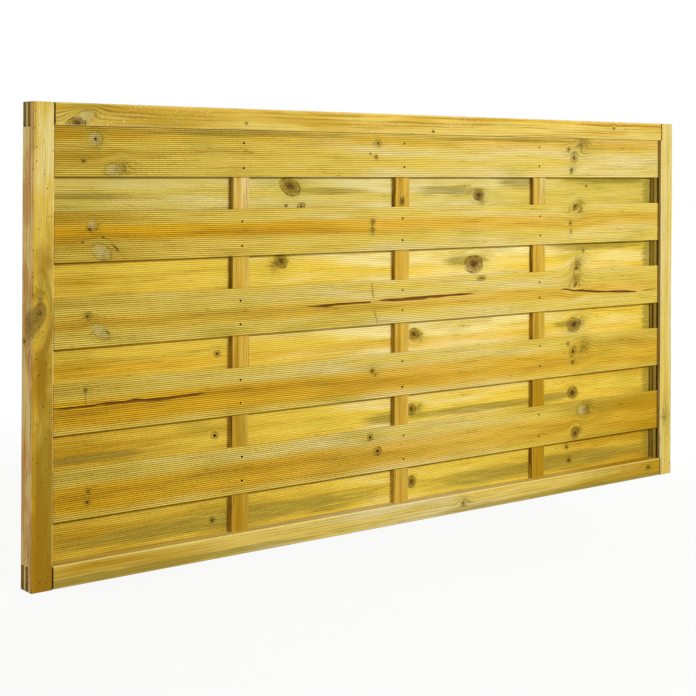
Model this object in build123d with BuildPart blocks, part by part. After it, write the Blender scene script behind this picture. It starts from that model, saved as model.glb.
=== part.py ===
from build123d import *
import os

# Privacy fence panel. Two stiles and two rails frame a double row of reeded slats. The
# slats of the front row cover the gaps of the back row, and upright battens run between
# the rows. Millimetres: the origin is at the centre of the left stile's outer face, X runs
# along the panel, the front faces -Y and Z is up.

# Outside of the panel
panel_length = 1800
panel_height = 900

# Frame timber, one section for stiles and rails
frame_face = 43
frame_depth = 45
arris_radius = 3
shoulder_ease = 2

# Twin tenons of the rails, let into slots that are open at the stiles' ends
back_cheek = 4.5
tenon_thick = 11
tenon_spacing = 17
tenon_setback = 0.5
slot_corner_radius = 3

# Slats
slats_per_row = 5
slat_width = 95
slat_thick = 7.5
slat_edge_radius = 1.2
reed_count = 24
reed_depth = 0.8

# Each row starts against one rail and leaves an opening at the other, covered by the other row
open_end_gap = 77.5

# Battens between the two rows
batten_thick = 13
batten_width = 40
batten_count = 3
batten_pitch = 430
batten_edge_radius = 1
end_batten_width = 20

# Groove in each stile's inner face, which holds the slat ends and an end batten
groove_depth = 12
slat_end_clearance = 1

# Places that follow from the sizes above
half_height = panel_height / 2
rail_inner = half_height - frame_face
slot_depth = frame_face + slot_corner_radius
back_tenon_y = frame_depth / 2 - back_cheek - tenon_thick / 2
tenon_rows = [back_tenon_y, back_tenon_y - tenon_spacing]
groove_floor = frame_face - groove_depth
groove_width = batten_thick + 2 * slat_thick
slat_start = groove_floor + slat_end_clearance
slat_length = panel_length - 2 * slat_start
mid_length = Plane.YZ.offset(panel_length / 2)

os.makedirs("parts", exist_ok=True)


def finish(piece, name):
    # Label a finished piece and write it to a file of its own
    piece.part.label = name
    export_step(piece.part, f"parts/{name}.step")


# Left stile: full height, all four long edges rounded
with BuildPart() as stile_left:
    with BuildSketch(Plane.XY.offset(-half_height)):
        with Locations((frame_face / 2, 0)):
            Rectangle(frame_face, frame_depth)
    extrude(amount=panel_height)
    fillet(stile_left.edges().filter_by(Axis.Z), arris_radius)

    # Two slots at each end, cut through from the outer face and rounded at the bottom
    with BuildSketch(Plane.YZ):
        for end_z in (half_height, -half_height):
            with Locations(*[(row_y, end_z) for row_y in tenon_rows]):
                RectangleRounded(tenon_thick, 2 * slot_depth, slot_corner_radius)
    extrude(amount=frame_face, mode=Mode.SUBTRACT)

    # Groove that stops at the rails
    with BuildSketch(Plane.YZ.offset(groove_floor)):
        Rectangle(groove_width, 2 * rail_inner)
    extrude(amount=groove_depth, mode=Mode.SUBTRACT)

finish(stile_left, "stile_left")

# Right stile: the left one mirrored about the middle of the panel
with BuildPart() as stile_right:
    mirror(stile_left.part, about=mid_length)

finish(stile_right, "stile_right")


def rail(name, mid_z):
    # A rail butts against the stiles' inner faces, eased to leave a V at each joint, and its
    # twin tenons run on through the stiles
    with BuildPart() as piece:
        with BuildSketch(Plane.YZ.offset(frame_face)):
            with Locations((0, mid_z)):
                Rectangle(frame_depth, frame_face)
        extrude(amount=panel_length - 2 * frame_face)
        chamfer(piece.edges().filter_by(Axis.Z), shoulder_ease)
        fillet(piece.edges().filter_by(Axis.X), arris_radius)

        with BuildSketch(Plane.YZ.offset(tenon_setback)):
            with Locations(*[(row_y, mid_z) for row_y in tenon_rows]):
                Rectangle(tenon_thick, frame_face)
        extrude(amount=panel_length - 2 * tenon_setback)
    finish(piece, name)


rail("rail_top", half_height - frame_face / 2)
rail("rail_bottom", frame_face / 2 - half_height)


def slat(name, front_y, mid_z):
    # A slat's front is a row of rounded reeds, and its back is flat with eased edges
    reed_width = slat_width / reed_count
    bottom_z = mid_z - slat_width / 2
    valleys = [(front_y + reed_depth, bottom_z + i * reed_width) for i in range(reed_count + 1)]
    back_y = front_y + slat_thick
    with BuildPart() as piece:
        with BuildSketch(Plane.YZ.offset(slat_start)):
            with BuildLine():
                for foot, head in zip(valleys, valleys[1:]):
                    SagittaArc(foot, head, reed_depth)
                back = [(back_y, bottom_z + slat_width), (back_y, bottom_z)]
                Polyline(valleys[-1], *back, valleys[0])
            make_face()
        extrude(amount=slat_length)
        fillet(piece.edges().filter_by(Axis.X).group_by(Axis.Y)[-1], slat_edge_radius)
    finish(piece, name)


# The front row starts against the top rail, and the back row stands on the bottom rail
front_row_y = -groove_width / 2
back_row_y = batten_thick / 2
first_slat_z = rail_inner - slat_width / 2
row_run = first_slat_z + rail_inner - open_end_gap - slat_width / 2
for i in range(slats_per_row):
    drop = i / (slats_per_row - 1) * row_run
    slat(f"front_slat_{i + 1}", front_row_y, first_slat_z - drop)
    slat(f"back_slat_{slats_per_row - i}", back_row_y, drop - first_slat_z)


def batten(name, mid_x, width):
    # A batten fills the space between the two rows, from rail to rail
    with BuildPart() as piece:
        with BuildSketch(Plane.XY.offset(-rail_inner)):
            with Locations((mid_x, 0)):
                Rectangle(width, batten_thick)
        extrude(amount=2 * rail_inner)
        fillet(piece.edges().filter_by(Axis.Z), batten_edge_radius)
    finish(piece, name)


# The end battens stand against the floors of the grooves
end_batten_x = groove_floor + end_batten_width / 2
batten("batten_left", end_batten_x, end_batten_width)
for i in range(batten_count):
    offset_x = (i - (batten_count - 1) / 2) * batten_pitch
    batten(f"batten_{i + 1}", panel_length / 2 + offset_x, batten_width)
batten("batten_right", panel_length - end_batten_x, end_batten_width)
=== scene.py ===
import math
from functools import partial
import bmesh
import bpy
from mathutils import Euler, Matrix, Vector


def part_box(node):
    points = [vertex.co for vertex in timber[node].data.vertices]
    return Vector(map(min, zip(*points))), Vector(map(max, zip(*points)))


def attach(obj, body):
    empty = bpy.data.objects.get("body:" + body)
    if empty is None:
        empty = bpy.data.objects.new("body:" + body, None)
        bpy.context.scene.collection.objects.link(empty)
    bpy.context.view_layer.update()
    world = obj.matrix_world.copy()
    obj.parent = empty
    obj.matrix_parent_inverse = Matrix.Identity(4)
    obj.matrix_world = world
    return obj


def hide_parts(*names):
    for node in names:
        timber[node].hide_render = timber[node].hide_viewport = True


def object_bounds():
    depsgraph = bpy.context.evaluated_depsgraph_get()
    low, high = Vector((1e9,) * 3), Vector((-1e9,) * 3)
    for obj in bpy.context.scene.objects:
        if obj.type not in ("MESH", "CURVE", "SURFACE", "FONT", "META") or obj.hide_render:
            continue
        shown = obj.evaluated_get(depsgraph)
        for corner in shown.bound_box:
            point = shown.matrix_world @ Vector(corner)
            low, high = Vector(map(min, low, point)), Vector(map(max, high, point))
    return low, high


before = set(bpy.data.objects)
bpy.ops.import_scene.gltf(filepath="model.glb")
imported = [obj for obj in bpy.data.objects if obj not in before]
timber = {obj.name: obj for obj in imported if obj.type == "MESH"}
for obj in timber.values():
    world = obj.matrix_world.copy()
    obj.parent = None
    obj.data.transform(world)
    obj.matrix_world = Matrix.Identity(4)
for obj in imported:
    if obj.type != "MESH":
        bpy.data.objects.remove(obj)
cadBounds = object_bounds()
print("frame loaded:", len(timber), "pieces of timber")

mm = 0.001
endless = 1e4  # mm, through the whole board


def linearColour(hexText):  # sRGB hex to linear, with full alpha
    parts = [int(hexText[i:i + 2], 16) / 255 for i in (1, 3, 5)]
    return [c / 12.92 if c <= 0.04045 else ((c + 0.055) / 1.055) ** 2.4 for c in parts] + [1]


def addNode(tree, kind, inputs=(), **settings):
    # Inputs are a list in the sockets' order, or a dictionary by name or number. Each is a
    # value, a socket, or a node, which stands for its first output.
    node = tree.nodes.new("ShaderNode" + kind)
    for name, value in settings.items():
        setattr(node, name, value)
    for name, value in inputs.items() if isinstance(inputs, dict) else enumerate(inputs):
        if isinstance(value, bpy.types.Node):
            value = value.outputs[0]
        if isinstance(value, bpy.types.NodeSocket):
            tree.links.new(value, node.inputs[name])
        else:
            node.inputs[name].default_value = value
    return node


smooth = {"interpolation_type": "SMOOTHSTEP"}  # for a range that is eased at both ends


def newGroup(name, inputs):  # an empty node group with its input sockets
    group = bpy.data.node_groups.new(name, "ShaderNodeTree")
    for socketName, kind in inputs.items():
        group.interface.new_socket(socketName, in_out="INPUT", socket_type="NodeSocket" + kind)
    return group, group.nodes.new("NodeGroupInput")


def closeGroup(group, outputs):  # gives the group one output for each named node
    for name in outputs:
        group.interface.new_socket(name, in_out="OUTPUT", socket_type="NodeSocketFloat")
    end = group.nodes.new("NodeGroupOutput")
    for name, value in outputs.items():
        group.links.new(value.outputs[0], end.inputs[name])
    return group


# A knot is a branch sawn across. Board coordinates are in mm: along the grain, across it,
# and through the board. Shares are of the knot's radius.
knotLook = {
    "roughRim": 0.65,      # how far noise pushes the rim
    "bendShare": 1.5,      # how far out the grain still swings wide
    "hillShare": 1.1,      # growth rings that close round the knot
    "haloShare": 1.7,
    "ringShare": 0.3,      # spacing of the knot's own rings
    "strokeRate": 13.0,    # torn strokes round a knot, about three to a unit
    "strokeCurl": 0.25,    # radians over one radius
    "bodyEdge": (0.7, 1.05),    # where each part of the knot starts to fade, and is gone
    "coreEdge": (0.15, 0.65),
    "paleEdge": (0.25, 1.1),
    "rimEdge": (0.02, 0.16),    # off the rim, either way
    "strokeEdge": (0.3, 1.8),
    "strokeTeeth": (0.47, 0.6),
    "strokeSide": (-0.1, 0.5),    # strokes leave from one end only
    "rimGaps": (0.35, 0.6, 0.15, 1.0),    # the rim is broken where the outline dips
}


def makeKnotGroup():
    look = knotLook
    group, start = newGroup("pineKnot", {"Board": "Vector", "Lumps": "Float", "Place": "Vector",
                                         "Radius": "Float", "Stretch": "Float", "Turn": "Float",
                                         "Deep": "Float"})
    add = partial(addNode, group)
    board, lumps, place, radius, stretch, turn, deep = start.outputs[:7]
    local = add("VectorMath", [board, place], operation="SUBTRACT")
    turned = add("VectorRotate", {"Vector": local, "Angle": turn}, rotation_type="Z_AXIS")
    axes = add("SeparateXYZ", [turned])
    length = add("Math", [radius, stretch], operation="MULTIPLY")
    alongShare = add("Math", [axes.outputs[0], length], operation="DIVIDE")
    acrossShare = add("Math", [axes.outputs[1], radius], operation="DIVIDE")
    deepShare = add("Math", [axes.outputs[2], deep], operation="DIVIDE")
    flat = add("CombineXYZ", [alongShare, acrossShare, deepShare])
    share = add("VectorMath", [flat], operation="LENGTH").outputs["Value"]
    push = add("Math", [lumps, 0.5], operation="SUBTRACT")
    rough = add("Math", [push, look["roughRim"], share], operation="MULTIPLY_ADD")

    body = add("MapRange", [rough, *look["bodyEdge"], 1.0, 0.0], **smooth)
    core = add("MapRange", [rough, *look["coreEdge"], 1.0, 0.0], **smooth)
    soft = add("MapRange", [rough, *look["paleEdge"], 1.0, 0.0], **smooth)
    offRim = add("Math", [rough, 1.0], operation="SUBTRACT")
    nearRim = add("Math", [offRim], operation="ABSOLUTE")
    rimLine = add("MapRange", [nearRim, *look["rimEdge"], 1.0, 0.0], **smooth)
    rimKept = add("MapRange", [lumps, *look["rimGaps"]])
    rim = add("Math", [rimLine, rimKept], operation="MULTIPLY")
    ringTurn = add("Math", [rough, 2 * math.pi / look["ringShare"]], operation="MULTIPLY")
    wave = add("Math", [ringTurn], operation="SINE")
    ringWave = add("Math", [wave, body], operation="MULTIPLY")
    rings = add("Math", [ringWave, 0.0], operation="MAXIMUM")

    # Torn grain fans out from one end of the knot in short curled strokes
    outward = add("VectorMath", [flat], operation="NORMALIZE")
    curl = add("Math", [share, look["strokeCurl"]], operation="MULTIPLY")
    curled = add("VectorRotate", {"Vector": outward, "Angle": curl}, rotation_type="Z_AXIS")
    spread = add("VectorMath", [curled, (look["strokeRate"],) * 3, place], operation="MULTIPLY_ADD")
    comb = add("TexNoise", {"Vector": spread, "Scale": 1.0, "Detail": 1.0})
    teeth = add("MapRange", [comb, *look["strokeTeeth"]], **smooth)
    tips = add("MapRange", [rough, *look["strokeEdge"], 1.0, 0.0], **smooth)
    side = add("SeparateXYZ", [outward])
    torn = add("MapRange", [side, *look["strokeSide"]], **smooth)
    reached = add("Math", [teeth, tips], operation="MULTIPLY")
    strokes = add("Math", [reached, torn], operation="MULTIPLY")

    falls = {}
    for name in ("bendShare", "hillShare", "haloShare"):
        reach = add("Math", [share, look[name]], operation="DIVIDE")
        square = add("Math", [reach, reach], operation="MULTIPLY")
        minus = add("Math", [square, -1.0], operation="MULTIPLY")
        falls[name] = add("Math", [minus], operation="EXPONENT")
    straight = add("SeparateXYZ", [local])
    swing = add("Math", [straight.outputs[1], falls["bendShare"]], operation="MULTIPLY")
    hill = add("Math", [radius, falls["hillShare"]], operation="MULTIPLY")
    bend = add("Math", [swing, hill], operation="ADD")
    return closeGroup(group, {"Bend": bend, "Body": body, "Core": core, "Rim": rim, "Rings": rings,
                              "Strokes": strokes, "Pale": soft, "Halo": falls["haloShare"]})


stainAndShadeLook = {"fray": 1.2, "edge": (0.45, 1.1)}  # how ragged it is, and where it fades, in shares


def makeStainAndShadeGroup():  # a streak that runs with the grain and frays at its ends, for darker treatment and for painted shade
    group, start = newGroup("stainAndShadeStreak", {"Board": "Vector", "Fray": "Float", "Place": "Vector",
                                               "Reach": "Vector"})
    add = partial(addNode, group)
    board, fray, place, reach = start.outputs[:4]
    local = add("VectorMath", [board, place], operation="SUBTRACT")
    share = add("VectorMath", [local, reach], operation="DIVIDE")
    distance = add("VectorMath", [share], operation="LENGTH").outputs["Value"]
    ragged = add("Math", [fray, stainAndShadeLook["fray"], -stainAndShadeLook["fray"] / 2], operation="MULTIPLY_ADD")
    edge = add("Math", [distance, ragged], operation="ADD")
    mask = add("MapRange", [edge, *stainAndShadeLook["edge"], 1.0, 0.0], **smooth)
    return closeGroup(group, {"Mask": mask})


# What each kind of knot shows, from 0 to 1. Pale is a body that the treatment hardly reached.
knotKinds = {
    "sound": {"Bend": 1.0, "Body": 0.75, "Core": 0.75, "Rim": 0.9, "Rings": 0.4, "Strokes": 0.6,
              "Halo": 0.7},
    "ringed": {"Bend": 0.6, "Body": 0.2, "Core": 0.85, "Rim": 0.65, "Rings": 0.3, "Strokes": 0.6,
               "Halo": 0.6},
    "brown": {"Bend": 0.6, "Core": 0.7, "Strokes": 0.8, "Halo": 0.7},
    "grey": {"Bend": 0.7, "Pale": 0.62, "Rim": 0.4, "Rings": 0.1, "Strokes": 0.6, "Halo": 0.6},
    "pin": {"Bend": 0.5, "Body": 0.2, "Core": 1.0, "Rim": 0.45, "Halo": 0.35},
    "fan": {"Bend": 0.8, "Body": 0.1, "Core": 0.25, "Strokes": 1.0, "Halo": 0.9},
    "burl": {"Bend": 1.1, "Body": 0.75, "Core": 0.3, "Rings": 0.25, "Strokes": 0.3, "Halo": 0.8},
    "dark": {"Bend": 0.8, "Body": 0.4, "Core": 1.0, "Rim": 1.0, "Strokes": 0.4, "Halo": 0.6},
    "scar": {"Bend": 0.0, "Core": 0.85, "Rim": 0.3, "Halo": 0.5},
    "crease": {"Bend": 0.0, "Core": 0.6, "Halo": 0.4},
}

# Pressure-treated pine, planed. The copper salts leave sapwood yellow with a green cast and
# heartwood orange. Latewood lines and knots stay darker, and the sheen is low.
pineLook = {
    "pale": "#dccb86",
    "sap": "#dac052",
    "deep": "#b48c14",
    "heart": "#dca80f",
    "heartDeep": "#ba8608",
    "late": "#7a5d12",
    "green": "#a59a32",
    "canal": "#624611",
    # darker treatment, and also the colour of painted shade in recesses
    "stainAndShade": "#8c7a2a",
    # painted shade in the grooves between the reeds
    "grooveShade": "#664c06",
    "crack": "#80561a",
    "seamShade": "#452e08",     # painted shade in a corner between two pieces
    "knotBody": "#8c6a1e",
    "knotPale": "#c3b67c",
    "knotCore": "#2e1600",
    "knotRim": "#3c2a00",
    "torn": "#664a08",
    "endGrain": "#4f3c16",
    "fleck": "#efe5ac",    # chips of dried salt
    # painted highlight on the planed arrises
    "arrisHighlight": "#f3e196",
    # the side faces' colour: partly edge grain, partly painted light that lifts or darkens a side
    "flankTintAndLight": "#c9ad6c",
    "flankDeepTintAndLight": "#b9824c",
    "roughness": 0.7,
    "gloss": 0.1,          # specular level, low on dry planed wood
    "bumpDepth": 0.00012,  # m
    "bumpStrength": 0.6,
    "ringGap": 7.0,        # mm between latewood lines on a flat-sawn face
    "latewood": (0.45, 0.93, 0.94, 1.0),    # shares of a ring: starts, is full, fades and ends
    "drift": 10.0,         # mm that the grain drifts across, and its rings' spacing again
    # Noise: waves to a mm along the grain, across it and through the board, then its detail
    "coarseNoise": (0.08, 0.09, 0.09, 2),    # a knot's uneven outline
    "gritNoise": (0.3, 0.4, 0.4, 2),
    "frayNoise": (0.01, 0.2, 0.1, 3),        # the ragged ends of a stain
    "driftNoise": (0.0035, 0.012, 0.02, 2),
    "spacingNoise": (0.002, 0.06, 0.05, 2),
    "greenNoise": (0.006, 0.02, 0.02, 2),
    "chipNoise": (0.2, 0.6, 0.6, 1),
    "chipPlaceNoise": (0.008, 0.02, 0.02, 1),
    "streakNoise": (0.003, 0.042, 0.07, 3),
    "lineNoise": (0.006, 0.11, 0.1, 2),
    "fibreNoise": (1 / 70, 1 / 1.6, 1 / 1.6, 2),    # 70 by 1.6 mm, coarser than real so that they show
    "canalNoise": (1 / 26, 1 / 1.5, 1 / 1.5, 1),    # resin canals cut lengthwise, 26 by 1.5 mm
    "pitScale": 0.1,       # pits to a mm
    # Edges: where each mask starts and is full
    "sapEdge": (0.0, 0.5),
    "deepEdge": (0.45, 1.15),
    "heartEdge": (0.55, 1.4),    # in shares of its half width
    "heartDeepEdge": (0.4, 0.68),
    "greenEdge": (0.5, 0.78),
    "flankDeepTintAndLightEdge": (0.42, 0.62),
    "fibreEdge": (0.42, 0.75),
    "canalEdge": (0.64, 0.78),
    "canalLineEdge": (0.42, 0.6),
    "stainAndShadeEdge": (0.3, 0.7),
    "pitEdge": (0.17, 0.1),
    "chipEdge": (0.63, 0.72),
    "chipPlaceEdge": (0.48, 0.6),
    "endGrainEdge": (0.8, 0.95),
    # Shares: how far each colour covers what is under it
    "streakContrast": 1.5,
    "lateShares": (0.04, 0.42),    # of the latewood lines, where they are weak and strong
    "lateFrom": 0.46,      # how many of them show
    "lateEase": 0.24,
    "lateAtKnot": 1.5,     # how much stronger they are beside a knot, and on a side face
    "lateAtFlank": 1.6,
    "fibreShare": 0.3,
    "canalShare": 0.8,
    "greenShare": 0.4,
    "greenAtKnot": 0.3,
    "stainAndShadeShares": (0.5, 0.85),    # between fibres and on them
    "pitShare": 0.85,
    "grooveShadeShare": 0.95,   # of the painted shade between reeds, and how much of it is left at the far end
    "grooveShadeFall": 0.35,
    "seamShadeShare": 0.9,
    "arrisHighlightShare": 0.45,
    "endGrainShare": 0.85,
    # Depths in mm
    "grooveShadeDepths": (0.15, 0.6, 1.2, 1.8),    # below the reeds: starts, is full, fades and ends
    "crackDepths": (0.85, 1.1, 5.8, 6.4),
    "crackMargin": (3.0, 5.0),    # from the board's long edges, where no crack runs
    "flankTintAndLightDepth": (1.6, 0.4),    # from a side, where the side colour sets in
    "cornerDirt": (1.4, 1.0),    # painted shade: width on the face, and length past the rail
    "arrisHighlightWidth": (3.2, 0.8),    # from an edge, where the painted highlight starts and is full
    "arrisHighlightFrom": -1000.0,  # across, below it no arris gets the painted highlight
}

knotGroup = makeKnotGroup()
stainAndShadeGroup = makeStainAndShadeGroup()


def makePine(name, low, high, grainAxis, tone=(0.5, 0.4, 0.5), heart=None, knots=(), stainsAndShade=(),
             specks=0.0, pith=None, flecks=0.0, reeded=False, flankTintAndLight=0.0, seamShade=None, corner=None, look=None):
    # low and high are the board's corners in metres. All else is in mm from its middle: along
    # the grain, across it and through the board.
    # tone: pale 0 to deep 1, at the board's start, middle and end. It is partly the wood's own tone and
    # partly painted shade: boards are mostly set deeper towards the panel's lower left, where less light
    # falls.
    # heart: across, half width, strength at the start, strength at the end
    # knots: along, across, radius, stretch, turn in degrees, kind
    # stains: along, across, half length, half width, for darker treatment and for painted shade
    # A knot or stain that doesn't run through the board ends with its middle and reach through it.
    # pith: across, through. Growth rings lie round it, so their lines turn on to the next face.
    # seam: along, half width of a painted shade line at both ends
    # corner: along, across of a long edge that gets painted shade where a rail meets it
    # specks, flecks and flank: shares of pits, of salt chips, and of the sides' colour, which is partly edge
    # grain and partly painted light and shade
    look = {**pineLook, **(look or {})}
    material = bpy.data.materials.new("treatedPine." + name)
    material.use_nodes = True
    material.node_tree.nodes.clear()
    add = partial(addNode, material.node_tree)
    layers = []  # what lies over the pale wood, from the bottom up: where, and which colour

    # Board coordinates in mm, and the noise that lies in them
    centre = (low + high) / 2
    order = {"X": (0, 2, 1), "Z": (2, 0, 1)}[grainAxis]
    halfSize = [(high - low)[i] / 2 / mm for i in order]
    place = add("TexCoord")
    moved = add("VectorMath", [place.outputs["Object"], tuple(centre)], operation="SUBTRACT")
    inMm = add("VectorMath", [moved, (1 / mm,) * 3], operation="MULTIPLY")
    axes = add("SeparateXYZ", [inMm])
    along, across, through = [axes.outputs[i] for i in order]
    offMiddle = add("Math", [along], operation="ABSOLUTE")
    offCentre = add("Math", [across], operation="ABSOLUTE")
    board = add("CombineXYZ", [along, across, through])
    seed = tuple(round(c / mm) * 7.0 for c in centre)  # each board has its own noise
    seeded = add("VectorMath", [board, seed], operation="ADD")
    noise = {}
    chipKinds = ["chip", "chipPlace"] if flecks else []
    for kind in ["coarse", "grit", "fray", "drift", "spacing", "green"] + chipKinds:
        *waves, detail = look[kind + "Noise"]
        stretched = add("VectorMath", [seeded, waves], operation="MULTIPLY")
        noise[kind] = add("TexNoise", {"Vector": stretched, "Scale": 1.0, "Detail": detail})

    # Knots push the grain aside and darken their own place
    grit = add("Math", [noise["grit"], 0.5], operation="SUBTRACT")
    lumps = add("Math", [grit, 0.5, noise["coarse"]], operation="MULTIPLY_ADD")
    bent = across
    masks = {}
    for knotAlong, knotAcross, radius, stretch, turn, kind, *ending in knots:
        knotThrough, deep = ending or (0, endless)
        knot = add("Group", {"Board": board, "Lumps": lumps, "Place": (knotAlong, knotAcross, knotThrough),
                             "Radius": radius, "Stretch": stretch, "Turn": math.radians(-turn),
                             "Deep": deep}, node_tree=knotGroup)
        shown = knotKinds[kind]
        push = add("Math", [knot.outputs["Bend"], shown["Bend"]], operation="MULTIPLY")
        bent = add("Math", [bent, push], operation="SUBTRACT")
        for key in ("Body", "Pale", "Core", "Rim", "Rings", "Strokes", "Halo"):
            part = add("Math", [knot.outputs[key], shown.get(key, 0.0)], operation="MULTIPLY")
            masks[key] = add("Math", [masks[key], part], operation="MAXIMUM") if key in masks else part
    stainAndShadeMask = None
    for streakAlong, streakAcross, halfLength, halfWidth, *ending in stainsAndShade:
        streakThrough, deep = ending or (0, endless)
        stainAndShade = add("Group", {"Board": board, "Fray": noise["fray"],
                              "Place": (streakAlong, streakAcross, streakThrough),
                              "Reach": (halfLength, halfWidth, deep)}, node_tree=stainAndShadeGroup)
        stainAndShadeMask = stainAndShade if stainAndShadeMask is None else add("Math", [stainAndShadeMask, stainAndShade], operation="MAXIMUM")

    # The grain drifts slowly, and its growth rings are unevenly spaced
    drifted = add("Math", [noise["drift"], look["drift"], bent], operation="MULTIPLY_ADD")
    grainAcross = add("Math", [noise["spacing"], look["drift"], drifted], operation="MULTIPLY_ADD")
    grain = add("CombineXYZ", [along, grainAcross, through])
    ringPlace = grainAcross
    if pith:
        aside = add("Math", [grainAcross, pith[0]], operation="SUBTRACT")
        under = add("Math", [through, pith[1]], operation="SUBTRACT")
        fromPith = add("CombineXYZ", [aside, under])
        ringPlace = add("VectorMath", [fromPith], operation="LENGTH").outputs["Value"]
    ringCount = add("Math", [ringPlace, look["ringGap"]], operation="DIVIDE")
    inRing = add("Math", [ringCount], operation="FRACT")
    starts, full, fades, ends = look["latewood"]
    rising = add("MapRange", [inRing, starts, full], **smooth)
    falling = add("MapRange", [inRing, ends, fades], **smooth)
    late = add("Math", [rising, falling], operation="MULTIPLY")
    for kind in ("streak", "line", "fibre", "canal"):
        *waves, detail = look[kind + "Noise"]
        stretched = add("VectorMath", [grain, waves], operation="MULTIPLY")
        noise[kind] = add("TexNoise", {"Vector": stretched, "Scale": 1.0, "Detail": detail})

    # Tone along the board, partly painted shade, then by streaks
    first, middle, last = tone
    firstHalf = add("MapRange", [along, -halfSize[0], 0.0, first - middle, 0.0], **smooth)
    lastHalf = add("MapRange", [along, 0.0, halfSize[0], middle, last], **smooth)
    slowTone = add("Math", [firstHalf, lastHalf], operation="ADD")
    contrast = look["streakContrast"]
    streakTone = add("Math", [noise["streak"], contrast, slowTone], operation="MULTIPLY_ADD")
    depthOfTone = add("Math", [streakTone, contrast / 2], operation="SUBTRACT")
    layers.append((add("MapRange", [depthOfTone, *look["sapEdge"]], **smooth), look["sap"]))
    layers.append((add("MapRange", [depthOfTone, *look["deepEdge"]], **smooth), look["deep"]))
    if heart:
        heartAcross, heartHalf, *strengths = heart
        fromHeart = add("Math", [grainAcross, heartAcross + look["drift"]], operation="SUBTRACT")
        offHeart = add("Math", [fromHeart], operation="ABSOLUTE")
        heartReach = [heartHalf * share for share in look["heartEdge"]]
        nearHeart = add("MapRange", [offHeart, *heartReach, 1.0, 0.0], **smooth)
        strength = add("MapRange", [along, -halfSize[0], halfSize[0], *strengths], **smooth)
        heartMask = add("Math", [nearHeart, strength], operation="MULTIPLY")
        heartTone = add("MapRange", [noise["streak"], *look["heartDeepEdge"]], **smooth)
        heartColour = add("Mix", {0: heartTone, 6: linearColour(look["heart"]),
                                  7: linearColour(look["heartDeep"])}, data_type="RGBA").outputs[2]
        layers.append((heartMask, heartColour))
    greener = add("MapRange", [noise["green"], *look["greenEdge"], 0.0, look["greenShare"]], **smooth)
    layers.append((greener, look["green"]))
    # the sides' colour, partly edge grain and partly painted light and shade
    if flankTintAndLight:
        flankTintAndLightEdge = [halfSize[1] - inside for inside in look["flankTintAndLightDepth"]]
        flankTintAndLightMask = add("MapRange", [offCentre, *flankTintAndLightEdge, 0.0, flankTintAndLight], **smooth)
        flankTintAndLightTone = add("MapRange", [noise["streak"], *look["flankDeepTintAndLightEdge"]], **smooth)
        flankTintAndLightColour = add("Mix", {0: flankTintAndLightTone, 6: linearColour(look["flankTintAndLight"]),
                                  7: linearColour(look["flankDeepTintAndLight"])}, data_type="RGBA").outputs[2]
        layers.append((flankTintAndLightMask, flankTintAndLightColour))

    # Latewood lines, stronger near knots, then fibres and resin canals
    lineEdge = (look["lateFrom"], look["lateFrom"] + look["lateEase"])
    lineShare = add("MapRange", [noise["line"], *lineEdge, *look["lateShares"]], **smooth)
    if flankTintAndLight:
        more = add("Math", [flankTintAndLightMask, look["lateAtFlank"], 1.0], operation="MULTIPLY_ADD")
        lineShare = add("Math", [lineShare, more], operation="MULTIPLY")
    lateShare = add("Math", [late, lineShare], operation="MULTIPLY")
    if knots:
        more = add("Math", [masks["Halo"], look["lateAtKnot"], 1.0], operation="MULTIPLY_ADD")
        lateShare = add("Math", [lateShare, more], operation="MULTIPLY")
    layers.append((lateShare, look["late"]))
    fibres = add("MapRange", [noise["fibre"], *look["fibreEdge"], 0.0, look["fibreShare"]], **smooth)
    layers.append((fibres, look["deep"]))
    canals = add("MapRange", [noise["canal"], *look["canalEdge"], 0.0, look["canalShare"]], **smooth)
    canalPlace = add("MapRange", [noise["line"], *look["canalLineEdge"]], **smooth)
    layers.append((add("Math", [canals, canalPlace], operation="MULTIPLY"), look["canal"]))
    if stainAndShadeMask is not None:
        stainAndShadeLines = add("MapRange", [noise["fibre"], *look["stainAndShadeEdge"], *look["stainAndShadeShares"]], **smooth)
        layers.append((add("Math", [stainAndShadeMask, stainAndShadeLines], operation="MULTIPLY"), look["stainAndShade"]))
    if knots:
        greenHalo = add("Math", [masks["Halo"], look["greenAtKnot"]], operation="MULTIPLY")
        rim = add("Math", [masks["Rim"], masks["Rings"]], operation="MAXIMUM")
        layers += [(greenHalo, look["green"]), (masks["Pale"], look["knotPale"]),
                   (masks["Body"], look["knotBody"]), (masks["Strokes"], look["torn"]),
                   (rim, look["knotRim"]), (masks["Core"], look["knotCore"])]
    if specks:
        cells = add("TexVoronoi", {"Vector": seeded, "Scale": look["pitScale"], "Randomness": 1.0})
        pit = add("MapRange", [cells.outputs["Distance"], *look["pitEdge"]], **smooth)
        cellAxes = add("SeparateXYZ", [cells.outputs["Color"]])
        kept = add("Math", [cellAxes.outputs[0], specks], operation="LESS_THAN")
        keptShare = add("Math", [kept, look["pitShare"]], operation="MULTIPLY")
        layers.append((add("Math", [pit, keptShare], operation="MULTIPLY"), look["knotCore"]))
    if flecks:
        chips = add("MapRange", [noise["chip"], *look["chipEdge"]], **smooth)
        chipPlace = add("MapRange", [noise["chipPlace"], *look["chipPlaceEdge"], 0.0, flecks], **smooth)
        layers.append((add("Math", [chips, chipPlace], operation="MULTIPLY"), look["fleck"]))

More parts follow.
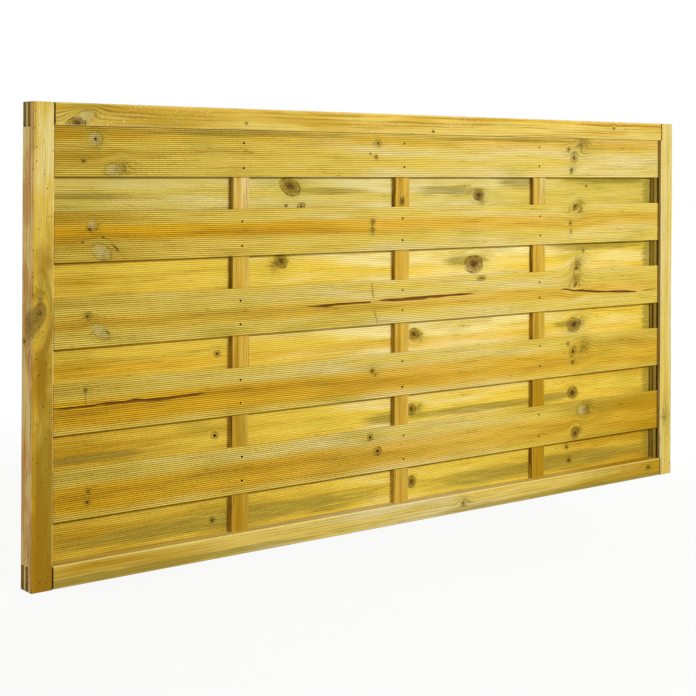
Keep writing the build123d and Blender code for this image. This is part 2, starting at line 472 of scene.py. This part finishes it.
    # Painted shade lies in the grooves between the reeds, and a crack is dark inside
    if reeded:
        depth = add("Math", [through, halfSize[2]], operation="ADD")
        inside = {}
        for kind in ("grooveShade", "crack"):
            starts, full, fades, ends = look[kind + "Depths"]
            upper = add("MapRange", [depth, starts, full], **smooth)
            lower = add("MapRange", [depth, ends, fades], **smooth)
            inside[kind] = add("Math", [upper, lower], operation="MULTIPLY")
        valleyShadeNear = look["grooveShadeShare"]
        valleyShadeFar = valleyShadeNear * look["grooveShadeFall"]
        valleyShade = add("MapRange", [along, -halfSize[0], halfSize[0], valleyShadeNear, valleyShadeFar], **smooth)
        layers.append((add("Math", [inside["grooveShade"], valleyShade], operation="MULTIPLY"), look["grooveShade"]))
        margin = [halfSize[1] - inwards for inwards in look["crackMargin"]]
        clearOfEdge = add("MapRange", [offCentre, *margin], **smooth)
        layers.append((add("Math", [inside["crack"], clearOfEdge], operation="MULTIPLY"), look["crack"]))

    # painted shade: a dark line across the board near both ends
    if seamShade:
        fromSeam = add("Math", [offMiddle, seamShade[0]], operation="SUBTRACT")
        offSeam = add("Math", [fromSeam], operation="ABSOLUTE")
        seamShadeMask = add("MapRange", [offSeam, seamShade[1], seamShade[1] / 2, 0.0, look["seamShadeShare"]], **smooth)
        layers.append((seamShadeMask, look["seamShade"]))
    # painted shade along a stile's inner arris where a rail meets it
    if corner:
        shadeWide, shadeLong = look["cornerDirt"]
        inwards = add("Math", [across, math.copysign(1.0, corner[1])], operation="MULTIPLY")
        beside = add("MapRange", [inwards, abs(corner[1]) - shadeWide, abs(corner[1])], **smooth)
        atRail = add("MapRange", [offMiddle, corner[0] - shadeLong, corner[0]], **smooth)
        layers.append((add("Math", [beside, atRail], operation="MULTIPLY"), look["seamShade"]))

    # The planed arrises get a painted highlight, and end grain soaks up more of the treatment
    wide, deep = [[half - inside for inside in look["arrisHighlightWidth"]] for half in halfSize[1:]]
    acrossEdge = add("MapRange", [offCentre, *wide], **smooth)
    offCore = add("Math", [through], operation="ABSOLUTE")
    throughEdge = add("MapRange", [offCore, *deep], **smooth)
    atEdge = add("Math", [acrossEdge, throughEdge], operation="MULTIPLY")
    edgeHighlight = add("Math", [atEdge, look["arrisHighlightShare"]], operation="MULTIPLY")
    upperSide = add("Math", [across, look["arrisHighlightFrom"]], operation="GREATER_THAN")
    arrisHighlight = add("Math", [edgeHighlight, upperSide], operation="MULTIPLY")
    if corner:
        offRail = add("Math", [1.0, atRail], operation="SUBTRACT")
        arrisHighlight = add("Math", [arrisHighlight, offRail], operation="MULTIPLY")
    layers.append((arrisHighlight, look["arrisHighlight"]))
    facing = add("NewGeometry")
    normalAxes = add("SeparateXYZ", [facing.outputs["True Normal"]])
    toGrain = add("Math", [normalAxes.outputs[order[0]]], operation="ABSOLUTE")
    sawnEnd = add("MapRange", [toGrain, *look["endGrainEdge"], 0.0, look["endGrainShare"]], **smooth)
    layers.append((sawnEnd, look["endGrain"]))

    colour = linearColour(look["pale"])
    for share, top in layers:
        top = linearColour(top) if isinstance(top, str) else top
        colour = add("Mix", {0: share, 6: colour, 7: top}, data_type="RGBA").outputs[2]
    height = add("Math", [noise["fibre"], late], operation="SUBTRACT")
    bump = add("Bump", {"Strength": look["bumpStrength"], "Distance": look["bumpDepth"], "Height": height})
    surface = add("BsdfPrincipled", {"Base Color": colour, "Roughness": look["roughness"],
                                     "Specular IOR Level": look["gloss"], "Normal": bump})
    add("OutputMaterial", {"Surface": surface})
    return material


def dress(node, grainAxis, board):  # a CAD piece whose shape is right keeps its mesh and gets the finish
    low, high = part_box(node)
    slots = timber[node].data.materials
    slots.clear()
    slots.append(makePine(node, low, high, grainAxis, **board))


# Both rows from the top. Along is mm from the panel's middle, across from the slat's centre line.
frontSlats = [
    {"tone": (0.8, 0.35, 0.2), "heart": (34, 14, 0.4, 0.5),
     "stainsAndShade": [(-450, 40, 330, 8), (330, 40, 300, 5)],
     "knots": [(-768, 24, 15, 1.1, 0, "grey"), (-768, 24, 6, 1, 0, "pin"), (-793, -17, 6, 1, 0, "dark"),
               (-730, -35, 14, 1.4, 0, "grey"), (-708, -26, 12, 1.2, -40, "fan"),
               (-78, 26, 9, 1.1, 0, "ringed"), (-83, -4, 6, 1, 0, "ringed"), (-98, 3, 4, 1, 0, "pin"),
               (522, 20, 7, 1, 0, "ringed"), (541, 1, 12, 1.1, 0, "ringed"),
               (562, 32, 20, 1.5, 30, "fan"), (532, -32, 14, 1.2, 70, "brown")]},
    {"tone": (0.85, 0.35, 0.35), "heart": (7, 15, 0.95, 0.55),
     "knots": [(-773, 22, 12, 1.1, 0, "grey"), (-779, 14, 6, 1.2, -40, "dark"), (-794, -10, 4, 1, 0, "pin"),
               (-753, -30, 15, 1.6, -30, "grey"), (-724, -22, 4.5, 6, -42, "scar"),
               (-750, -2, 3, 4, -25, "scar"),
               (-91, 16, 7, 1, 0, "dark"), (-92, -4, 7, 1, 0, "dark"), (-92, 6, 2.5, 4, 90, "scar"),
               (549, 46, 22, 1.2, 30, "fan"), (545, 40, 15, 1.3, 40, "brown"), (560, 28, 3, 5, 40, "scar"),
               (529, 2, 7, 1, 0, "ringed"), (531, -20, 6, 2, 90, "brown")]},
    {"tone": (0.65, 0.35, 0.42), "heart": (-4, 14, 0.5, 0.5),
     "knots": [(-783, 10, 8, 1, 0, "ringed"), (-755, -20, 12, 1.9, -35, "grey"),
               (-740, -22, 3, 5, -40, "scar"),
               (-91, 27, 3.4, 13, -81, "crease"), (-83, -26, 3, 14, -73, "crease"),
               (233, 41, 6, 2.2, 0, "dark"), (544, 24, 18, 1.2, 40, "fan"),
               (548, 12, 10, 1.8, 50, "brown")]},
    {"tone": (0.65, 0.3, 0.7), "heart": (-11, 27, 0.95, 0.6),
     "knots": [(-787, 32, 6, 1, 0, "ringed"), (-786, 18, 2.4, 11, -88, "crease"),
               (-91, 13, 7, 1, 0, "dark"), (-83, 3, 7, 1.3, 20, "brown"),
               (523, 29, 6, 1, 0, "ringed"), (540, 10, 10, 1.4, 45, "dark"), (538, -17, 12, 1.1, 0, "brown"),
               (572, 14, 20, 1.2, 20, "fan")]},
    {"tone": (0.6, 0.28, 1.05), "heart": (-11, 28, 0.95, 0.4),
     "knots": [(-780, 2, 6, 1, 0, "ringed"), (-782, -18, 7, 1, 0, "dark"), (-96, 30, 8, 1, 0, "dark"),
               (-75, -2, 9, 1.2, 0, "dark"), (574, 25, 14, 1.5, 0, "grey"), (586, 26, 14, 1.3, 20, "fan"),
               (548, -29, 15, 0.9, 0, "sound"), (560, -22, 12, 1.2, 0, "fan")]},
]
backSlats = [
    {"tone": (0.45, 0.24, 0.6), "look": {"pale": "#ddd08f", "sap": "#d3bd56", "deep": "#a8942c"},
     "knots": [(-299, 10, 18, 1.5, -25, "sound"), (-270, -32, 8, 1.3, 20, "dark"),
               (-309, -30, 4, 1.2, 0, "dark"), (242, -11, 13, 1.3, 0, "sound"),
               (238, -20, 16, 1.5, 0, "fan"), (607, 8, 4, 1, 0, "dark"), (581, -36, 14, 1.3, 0, "fan")],
     "stainsAndShade": [(-800, -8, 170, 8), (-190, 0, 120, 9), (151, 0, 130, 14), (380, 18, 90, 16),
                (690, 22, 200, 9)]},
    {"tone": (0.75, 0.25, 0.35),
     "knots": [(-321, 16, 14, 1.3, -35, "sound"), (-330, 10, 16, 1.3, -145, "fan"),
               (228, -11, 20, 1.4, 0, "sound"), (597, 9, 5, 1, 0, "dark"),
               (568, -24, 18, 1.5, 20, "fan"), (572, -34, 12, 1.4, 30, "brown")],
     "stainsAndShade": [(200, -2, 80, 14), (660, 22, 200, 14)]},
    {"tone": (0.8, 0.2, 0.45), "heart": (-18, 9, 0.6, 0.1),
     "knots": [(-479, -6, 7, 1.2, 0, "dark"), (45, 0, 13, 1.2, 0, "sound"), (58, -6, 12, 1.2, 0, "fan"),
               (564, -11, 17, 1.4, 0, "sound"), (584, -6, 14, 1.3, 0, "fan")],
     "stainsAndShade": [(540, -8, 50, 9)]},
    {"tone": (1.0, 0.35, 0.7),
     "knots": [(-484, -10, 8, 1.1, 0, "dark"), (39, -8, 13, 1.1, 0, "sound"), (56, -8, 12, 1.2, 0, "fan"),
               (561, -17, 15, 1.2, 0, "sound")],
     "stainsAndShade": [(-780, -22, 190, 11), (-30, -20, 90, 13), (230, -24, 290, 11), (500, -22, 90, 12)]},
    {"tone": (0.95, 0.5, 1.0),
     "knots": [(-489, -20, 7, 1, 0, "dark"), (40, -9, 13, 1, 0, "sound"), (541, 12, 7, 1, 0, "ringed"),
               (549, -21, 9, 1.2, 0, "ringed")],
     "stainsAndShade": [(-430, -22, 480, 24), (470, -22, 480, 24)]},
]
recessShade = [(843, 0, 30, 90), (849, 0, 18, 90)]  # painted shade in the corner at the end batten
for board in backSlats:
    board["stainsAndShade"] = [*board.get("stainsAndShade", []), *recessShade]
slatRows = {
    "front": {"slats": frontSlats, "seamShade": (857, 6),    # painted shade where the slats enter the stiles
              "look": {"arrisHighlightShare": 0.0, "grooveShadeShare": 0.95, "seamShade": "#6b4c14"}},
    "back": {"slats": backSlats, "seamShade": (848, 3.5),    # painted shade at both ends by the end battens, and paler colours than the front row
             "look": {"arrisHighlightShare": 0.0, "grooveShadeShare": 0.5, "seamShade": "#452e08", "pale": "#ecdc94",
                      "sap": "#e5c748", "deep": "#c0951a"}},
}
for row, spec in slatRows.items():
    for slatNumber, board in enumerate(spec["slats"], 1):
        look = {**spec["look"], **board.get("look", {})}
        dress(f"{row}_slat_{slatNumber}", "X", {**board, "reeded": True, "seamShade": spec["seamShade"], "look": look})

# Each frame piece and batten: the way its grain runs, and what makePine needs for it
battenLook = {"ringGap": 4.5, "pale": "#d6bf7c", "sap": "#cda63e", "deep": "#a87f08", "late": "#7b5418",
              "lateShares": (0.04, 0.8), "lateFrom": 0.36, "arrisHighlightShare": 0.08, "flankTintAndLight": "#cfa93a",
              "flankDeepTintAndLight": "#a88520"}
frameLook = {"ringGap": 4.5, "pale": "#d2c38c", "sap": "#d6bd5e", "late": "#785213",
             "lateShares": (0.04, 0.5), "lateFrom": 0.36, "fibreShare": 0.4, "flankTintAndLight": "#ccb47a",
             "flankDeepTintAndLight": "#bc8c58"}
railSeamShade = (856.6, 2.0)  # painted shade where a rail's eased shoulder meets the stile
frameTimber = {
    "stile_left": ("Z", {
        "tone": (1.5, 0.9, 0.1), "heart": (-22, 8, 0.5, 0.5), "pith": (-34, -6), "specks": 0.6,
        "flankTintAndLight": 0.8, "corner": (407, 20.5),
        "look": {**frameLook, "pale": "#dfcb80", "sap": "#d6b84a", "deep": "#98700a",
                 "lateShares": (0.04, 0.3), "streakNoise": (0.012, 0.03, 0.03, 3), "arrisHighlightFrom": 0.0},
        "knots": [(84, -7, 12, 2.4, 5, "fan", -24, 26), (58, -9, 17, 1.7, 15, "burl", -24, 22),
                  (60, -6, 8, 1.6, 30, "brown", -24, 20), (40, -21, 20, 1.6, 0, "burl", -10, 20),
                  (8, -21, 6, 1.2, 0, "ringed", 10, 8)]}),
    "stile_right": ("Z", {
        "tone": (0.45, 0.25, 0.35), "pith": (30, 9), "specks": 0.3, "flankTintAndLight": 0.75,
        "corner": (407, -20.5), "look": frameLook,
        "knots": [(-310, -4, 12, 2.2, 0, "fan")],
        # painted shade down the front of the inner side, in the recess beside the slats
        "stainsAndShade": [(0, -22, 900, 2.5, -12, 14)]}),
    "rail_top": ("X", {
        "tone": (0.8, 0.6, 0.68), "heart": (16, 7, 0.3, 0.5), "pith": (40, 14), "flecks": 0.75,
        "seamShade": railSeamShade, "look": {**frameLook, "lateShares": (0.04, 0.75)},
        "knots": [(-812, -17, 12, 1.6, 0, "sound"), (-795, -4, 12, 2.0, 20, "grey"),
                  (675, 6, 5, 1, 0, "dark"), (-430, -8, 4, 1, 0, "dark"), (75, -14, 4, 1, 0, "dark")]}),
    "rail_bottom": ("X", {
        "tone": (0.8, 0.15, 1.1), "pith": (-36, 20), "seamShade": railSeamShade, "look": frameLook,
        "knots": [(170, 0, 10, 1.4, 0, "fan"), (810, 3, 8, 1.3, 0, "dark")],
        "stainsAndShade": [(-900, -12, 900, 10), (600, -16, 700, 9)]}),
    "batten_left": ("Z", {"look": battenLook}),
    "batten_1": ("Z", {"tone": (0.9, 0.66, 0.15), "flankTintAndLight": 0.7, "look": battenLook}),
    "batten_2": ("Z", {"tone": (0.5, 0.6, 0.75), "flankTintAndLight": 0.7, "look": battenLook,
                       "knots": [(258, -1, 7, 1.4, 0, "sound")]}),
    "batten_3": ("Z", {"tone": (1.3, 0.8, 0.2), "flankTintAndLight": 0.7, "look": battenLook}),
    # painted shade: the end batten lies in the stile's shade, so its colours are set darker, with a painted
    # shadow line along the front of its left side
    "batten_right": ("Z", {
        "tone": (0.9, 0.9, 0.9), "flankTintAndLight": 0.95, "stainsAndShade": [(0, -10, 900, 3, -6.5, 7)],
        "look": {**battenLook, "pale": "#b8a450", "sap": "#ac943a", "deep": "#8c7424",
                 "flankTintAndLight": "#b8a040", "flankDeepTintAndLight": "#a08a34", "stainAndShade": "#4c3408"}}),
}
for node, (grainAxis, board) in frameTimber.items():
    dress(node, grainAxis, board)
print("timber finished")

# Two slats have dried out and split. A crack is (along, across, half width) from end to end.
cracks = {
    "front_slat_3": [
        [(-276, 1.8, 0.1), (-240, 0.4, 2.1), (-216, 0.2, 3.5), (-192, 2.2, 3.0), (-144, 2.8, 2.1),
         (-100, 2.5, 1.6), (-92, 2.6, 0.1)],
        [(-86, 2.8, 0.1), (-58, 4.2, 2.1), (-34, 3.6, 3.4), (-10, 2.8, 3.5), (22, 3.6, 4.2),
         (52, 3.9, 4.1), (76, 5.8, 3.4), (97, 5.2, 3.5), (134, 5.7, 2.0), (166, 6.4, 2.8),
         (196, 6.2, 1.1), (217, 5.7, 0.1)],
        [(492, 2.5, 0.1), (519, 1.7, 1.8), (543, -3.0, 2.1), (572, -3.6, 3.0), (594, -6.3, 2.8),
         (629, -9.0, 2.8), (661, -11.0, 2.1), (693, -11.7, 3.1), (733, -13.5, 3.4),
         (763, -15.4, 1.8), (778, -16.0, 0.1)],
        [(790, -14.6, 0.1), (813, -13.5, 0.9), (833, -12.6, 0.7), (855, -11.6, 0.1)],
    ],
    "front_slat_4": [
        [(-866, 4.0, 0.9), (-826, 2.3, 1.5), (-799, 2.4, 1.6), (-775, 1.6, 2.0), (-759, 3.8, 1.8),
         (-732, 3.2, 3.4), (-705, 2.3, 3.1), (-678, 4.0, 3.4), (-652, 1.0, 3.1), (-625, 0.5, 3.5),
         (-598, 1.6, 3.4), (-571, 2.3, 3.0), (-545, 2.4, 3.1), (-534, 4.2, 1.6), (-510, 4.8, 0.1)],
    ],
}
crackShape = {
    "depth": 5.0,          # mm
    "proud": 1.5,          # mm that the cutter stands out of the slat's face
    "weld": 0.01,          # mm, closes the CAD mesh before it is cut
    "sharpAngle": 35,      # degrees, from where an edge is shaded sharp
}


def makeCrackCutter(name, line, middle, faceY):  # a long wedge with its thin edge inside the slat
    verts = []
    depth, proud = crackShape["depth"], crackShape["proud"]
    for along, across, half in line:
        wide = half * (depth + proud) / depth
        x, z = middle.x + along * mm, middle.z + across * mm
        verts += [(x, faceY - proud * mm, z - wide * mm), (x, faceY - proud * mm, z + wide * mm),
                  (x, faceY + depth * mm, z)]
    faces = [(0, 1, 2), tuple(len(verts) - 3 + i for i in (2, 1, 0))]
    for i in range(0, len(verts) - 3, 3):
        for a, b in ((0, 1), (1, 2), (2, 0)):
            faces.append((i + b, i + a, i + a + 3, i + b + 3))
    mesh = bpy.data.meshes.new(name)
    mesh.from_pydata(verts, [], faces)
    cutter = bpy.data.objects.new(name, mesh)
    bpy.context.scene.collection.objects.link(cutter)
    return cutter


for node, lines in cracks.items():
    low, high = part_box(node)
    middle = (low + high) / 2
    mesh = timber[node].data.copy()
    mesh.attributes.remove(mesh.attributes["custom_normal"])  # the cut edges need new ones
    shell = bmesh.new()
    shell.from_mesh(mesh)
    bmesh.ops.remove_doubles(shell, verts=shell.verts, dist=crackShape["weld"] * mm)
    shell.to_mesh(mesh)
    shell.free()
    piece = bpy.data.objects.new(f"cracked_{node}", mesh)
    bpy.context.scene.collection.objects.link(piece)
    cutters = [makeCrackCutter(f"crackCutter{i}", line, middle, low.y) for i, line in enumerate(lines)]
    for cutter in cutters:
        cut = piece.modifiers.new(cutter.name, "BOOLEAN")
        cut.operation = "DIFFERENCE"
        cut.solver = "EXACT"
        cut.object = cutter
    ready = piece.evaluated_get(bpy.context.evaluated_depsgraph_get())
    cracked = bpy.data.meshes.new_from_object(ready)
    piece.modifiers.clear()
    piece.data = cracked
    for polygon in cracked.polygons:
        polygon.use_smooth = True
    cracked.set_sharp_from_angle(angle=math.radians(crackShape["sharpAngle"]))
    for cutter in cutters:
        bpy.data.objects.remove(cutter)
    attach(piece, "root")
    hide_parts(node)
    print("cracked", node, len(cracked.polygons), "faces")

# Wire nails hold each slat to the three middle battens, two to a batten
nailSpec = {
    "headRadius": 2.5,     # mm
    "proud": 0.15,
    "length": 1.4,         # mm of shank kept under the head
    "rounding": 0.3,
    "sides": 14,
    "steel": "#170f06",
    "gloss": 0.2,
    "roughness": 0.55,
    # For each slat from the top, at the three battens: mm off the batten's middle, and the
    # upper and the lower nail from the slat's centre line. Both rows are nailed alike.
    "places": [[(0, 21, -30), (-2, 27, -25), (-9, 24, -21)],
               [(-3, 23, -27), (-6, 22, -26), (-5, 20, -26)],
               [(-6, 23, -25), (-5, 24, -20), (-6, 23, -14)],
               [(-5, 23, -24), (-5, 28, -29), (-4, 31, -17)],
               [(-1, 27, -21), (0, 24, -28), (-6, 28, -24)]],
}
# Bright drawn wire gone dark in the damp timber: near black, with a dull glint
steel = bpy.data.materials.new("wireNailSteel")
steel.use_nodes = True
steel.node_tree.nodes.clear()
add = partial(addNode, steel.node_tree)
surface = add("BsdfPrincipled", {"Base Color": linearColour(nailSpec["steel"]), "Metallic": 1.0,
                                 "Specular IOR Level": nailSpec["gloss"],
                                 "Roughness": nailSpec["roughness"]})
add("OutputMaterial", {"Surface": surface})
for row, outward in (("front", -1), ("back", 1)):
    heads = bmesh.new()
    for slatNumber, places in enumerate(nailSpec["places"], 1):
        low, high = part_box(f"{row}_slat_{slatNumber}")
        middle = (low + high) / 2
        faceY = low.y if outward < 0 else high.y
        for battenNumber, (aside, *offsets) in enumerate(places, 1):
            battenLow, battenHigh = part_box(f"batten_{battenNumber}")
            for offset in offsets:
                x = (battenLow.x + battenHigh.x) / 2 + aside * mm
                z = middle.z + offset * mm
                y = faceY + outward * (nailSpec["proud"] - nailSpec["length"] / 2) * mm
                turned = Matrix.Translation((x, y, z)) @ Matrix.Rotation(math.pi / 2, 4, "X")
                bmesh.ops.create_cone(heads, cap_ends=True, segments=nailSpec["sides"],
                                      radius1=nailSpec["headRadius"] * mm,
                                      radius2=nailSpec["headRadius"] * mm,
                                      depth=nailSpec["length"] * mm, matrix=turned)
    bmesh.ops.bevel(heads, geom=[edge for edge in heads.edges if edge.calc_face_angle(0) > 1],
                    offset=nailSpec["rounding"] * mm, segments=2, affect="EDGES")
    nailMesh = bpy.data.meshes.new(f"{row}_nails")
    heads.to_mesh(nailMesh)
    heads.free()
    nailMesh.materials.append(steel)
    nails = bpy.data.objects.new(f"{row}_nails", nailMesh)
    bpy.context.scene.collection.objects.link(nails)
    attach(nails, "root")
print("cracks and nails made")

# Camera: a short telephoto held level at the panel's front left, with the lens shifted down
cameraSpec = {
    "place": (-1.222, -2.493, 0.326),
    "turn": 38.35,         # degrees from square on, towards the right
    "roll": 0.28,          # degrees
    "lens": 76.4,          # mm on a 36 mm sensor
    "shiftDown": 0.255,
}
cameraData = bpy.data.cameras.new("panelCamera")
cameraData.lens = cameraSpec["lens"]
cameraData.sensor_width = 36
cameraData.shift_y = -cameraSpec["shiftDown"]
camera = bpy.data.objects.new("panelCamera", cameraData)
level = Euler((math.pi / 2, 0, -math.radians(cameraSpec["turn"]))).to_matrix().to_4x4()
camera.matrix_world = (Matrix.Translation(cameraSpec["place"]) @ level
                       @ Matrix.Rotation(math.radians(cameraSpec["roll"]), 4, "Z"))
bpy.context.scene.collection.objects.link(camera)
bpy.context.scene.camera = camera

# Studio: a wide flat key lamp at the front right, low enough for thin shadows under the
# slats, a lamp at the left end, one behind, and a white world
studio = {
    "keyLamp": {"at": (1.3, -2.7, 0.85), "aim": (0.9, 0, 0), "wide": 1.2, "high": 0.22, "power": 76},
    "endLamp": {"at": (-2.4, 0.9, 0.7), "aim": (0, 0, 0), "wide": 1.0, "high": 1.0, "power": 42},
    "backLamp": {"at": (2.6, 3.2, 1.6), "aim": (0.9, 0, 0), "wide": 1.6, "high": 1.6, "power": 90},
    "world": 0.4,
    "floor": "#a9a9a6",
    "floorSize": 30,
    "nearGlow": 0.86,      # how much of the floor's own shade the camera doesn't see by the panel
    "glowStart": 1.2,      # m from the origin, where the floor starts to go plain white
    "glowEnd": 3.2,
    "glowStrength": 1.05,  # lifts the lit floor to white, so that only the shadow shows
}
for name in ("keyLamp", "endLamp", "backLamp"):
    spec = studio[name]
    lampData = bpy.data.lights.new(name, "AREA")
    lampData.shape = "RECTANGLE"
    lampData.size = spec["wide"]
    lampData.size_y = spec["high"]
    lampData.energy = spec["power"]
    lamp = bpy.data.objects.new(name, lampData)
    lamp.location = spec["at"]
    lamp.rotation_euler = (Vector(spec["aim"]) - Vector(spec["at"])).to_track_quat("-Z", "Y").to_euler()
    bpy.context.scene.collection.objects.link(lamp)

world = bpy.data.worlds.new("studioWorld")
bpy.context.scene.world = world
world.use_nodes = True
world.node_tree.nodes.clear()
add = partial(addNode, world.node_tree)
ray = add("LightPath")
seen = add("Math", [ray.outputs["Is Camera Ray"], ray.outputs["Is Glossy Ray"]], operation="MAXIMUM")
seen = add("Math", [seen, ray.outputs["Is Transmission Ray"]], operation="MAXIMUM")
strength = add("MapRange", {0: seen, 3: studio["world"], 4: 1.0})
sky = add("Background", {"Color": (1, 1, 1, 1), "Strength": strength})
add("OutputWorld", {"Surface": sky})

floorMesh = bpy.data.meshes.new("studioFloor")
half = studio["floorSize"] / 2
floorLevel = cadBounds[0][2]
corners = [(x, y, floorLevel) for x, y in ((-half, -half), (half, -half), (half, half), (-half, half))]
floorMesh.from_pydata(corners, [], [(0, 1, 2, 3)])
floor = bpy.data.objects.new("studioFloor", floorMesh)
bpy.context.scene.collection.objects.link(floor)
paper = bpy.data.materials.new("whitePaper")  # backdrop paper, with no sheen: it shows only the shadow
paper.use_nodes = True
paper.node_tree.nodes.clear()
add = partial(addNode, paper.node_tree)
ray = add("LightPath")
matt = add("BsdfDiffuse", {"Color": linearColour(studio["floor"])})
glow = add("Emission", {"Color": (1, 1, 1, 1), "Strength": studio["glowStrength"]})
spot = add("TexCoord")
away = add("VectorMath", [spot.outputs["Object"]], operation="LENGTH").outputs["Value"]
plain = add("MapRange", [away, studio["glowStart"], studio["glowEnd"], studio["nearGlow"], 1.0])
share = add("Math", [ray.outputs["Is Camera Ray"], plain], operation="MULTIPLY")
mixed = add("MixShader", [share, matt, glow])
add("OutputMaterial", {"Surface": mixed})
floorMesh.materials.append(paper)

bpy.context.scene.view_settings.view_transform = "Standard"
print("camera and studio made")
